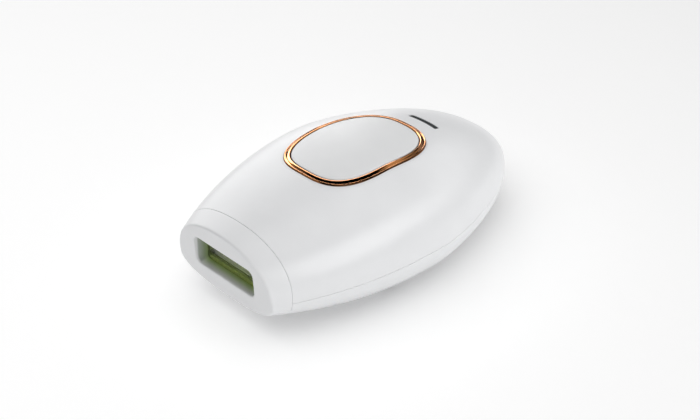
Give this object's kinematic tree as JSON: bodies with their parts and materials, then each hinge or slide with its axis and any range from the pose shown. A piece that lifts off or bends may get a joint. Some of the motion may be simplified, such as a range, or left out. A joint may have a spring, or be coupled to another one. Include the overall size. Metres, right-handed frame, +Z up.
{
  "type": "ipl hair remover",
  "caption": "Handheld egg-shaped light-pulse hair remover with a flat nozzle and filter window, a large ringed top button, an indicator slit and a rear power inlet.",
  "frame": {"origin": "middle of the footprint, on the surface that the belly rests on", "axes": "-Y the way the nozzle faces, +X the right side seen from behind, +Z up"},
  "size_m": [0.08, 0.1288, 0.0434],
  "materials": {
    "shell_white": "smooth glossy white",
    "nozzle_white": "smooth satin white",
    "rose_gold": "polished rose-gold plating",
    "button_grey": "satin light grey",
    "dark_plastic": "fine matt moulded black",
    "smoked_lens": "smoked glossy",
    "clear_plastic": "frosted clear",
    "led": "small white packages with yellow lens",
    "circuit_board": "green solder mask",
    "component_black": "moulded black",
    "plunger_cream": "cream nylon",
    "filter": "polished yellow-green filter",
    "lamp_glass": "clear quartz",
    "seal_rubber": "matt silicone",
    "bright_metal": "bright plated",
    "steel": "zinc-plated",
    "reflector_metal": "mirror polished",
    "lamp_carrier": "heat-proof cream",
    "capacitor_sleeve": "dark heat-shrink sleeve",
    "ferrite": "sintered dark grey",
    "coil_winding": "amber tape over windings",
    "film_red": "dipped red",
    "sink_aluminium": "extruded",
    "wire_red": "PVC insulation",
    "wire_black": "PVC insulation",
    "wire_white": "silicone insulation"
  },
  "bodies": {
    "handset": {"upper_shell": "shell_white", "lower_shell": "shell_white", "trim_ring": "rose_gold", "button_frame": "dark_plastic", "button_springs": "steel", "indicator_window": "smoked_lens", "light_pipe": "clear_plastic", "indicator_leds": "led", "control_board": "circuit_board", "switch_body": "dark_plastic", "contact_socket": "dark_plastic", "head_frame": "dark_plastic", "main_board": "circuit_board", "flash_capacitor": "capacitor_sleeve", "transformer_core": "ferrite", "transformer_coil": "coil_winding", "trigger_coil": "coil_winding", "trigger_capacitor": "film_red", "small_capacitors": "capacitor_sleeve", "board_chips": "component_black", "wire_headers": "plunger_cream", "power_transistor": "component_black", "heat_sink": "sink_aluminium", "fan_housing": "dark_plastic", "dc_jack_body": "dark_plastic", "dc_jack_pin": "bright_metal", "shell_screws": "steel", "frame_screws": "steel", "board_screws": "steel", "button_frame_screws": "steel", "control_board_screws": "steel", "dc_leads": "wire_red", "fan_leads": "wire_black", "lamp_leads": "wire_white", "board_ribbon": "wire_white"},
    "lamp_head": {"nozzle_housing": "nozzle_white", "filter_glass": "filter", "window_seal": "seal_rubber", "flash_lamp": "lamp_glass", "lamp_electrodes": "bright_metal", "trigger_wire": "steel", "lamp_reflector": "reflector_metal", "lamp_holder": "lamp_carrier", "contact_pins": "bright_metal"},
    "button": {"button_cap": "button_grey"},
    "switch": {"switch_plunger": "plunger_cream"},
    "fan": {"fan_rotor": "dark_plastic"}
  },
  "joints": [
    {"name": "head_release", "type": "slide", "parent": "handset", "child": "lamp_head", "axis": [0, -1, 0], "range_m": [0, 0.036]},
    {"name": "button_press", "type": "slide", "parent": "handset", "child": "button", "axis": [0, 0, -1], "range_m": [0, 0.0005], "stiffness_N_per_m": 1200, "springref_m": -0.001, "deforming": ["button_springs"]},
    {"name": "switch_press", "type": "slide", "parent": "handset", "child": "switch", "axis": [0, 0, -1], "range_m": [0, 0.0005]},
    {"name": "fan_spin", "type": "hinge", "parent": "handset", "child": "fan", "pos_m": [0.0035, -0.01363, 0.0196], "axis": [0, 1, 0], "continuous": true}
  ],
  "couplings": [
    {"joint": "switch_press", "follows": "button_press", "ratio": 1}
  ]
}
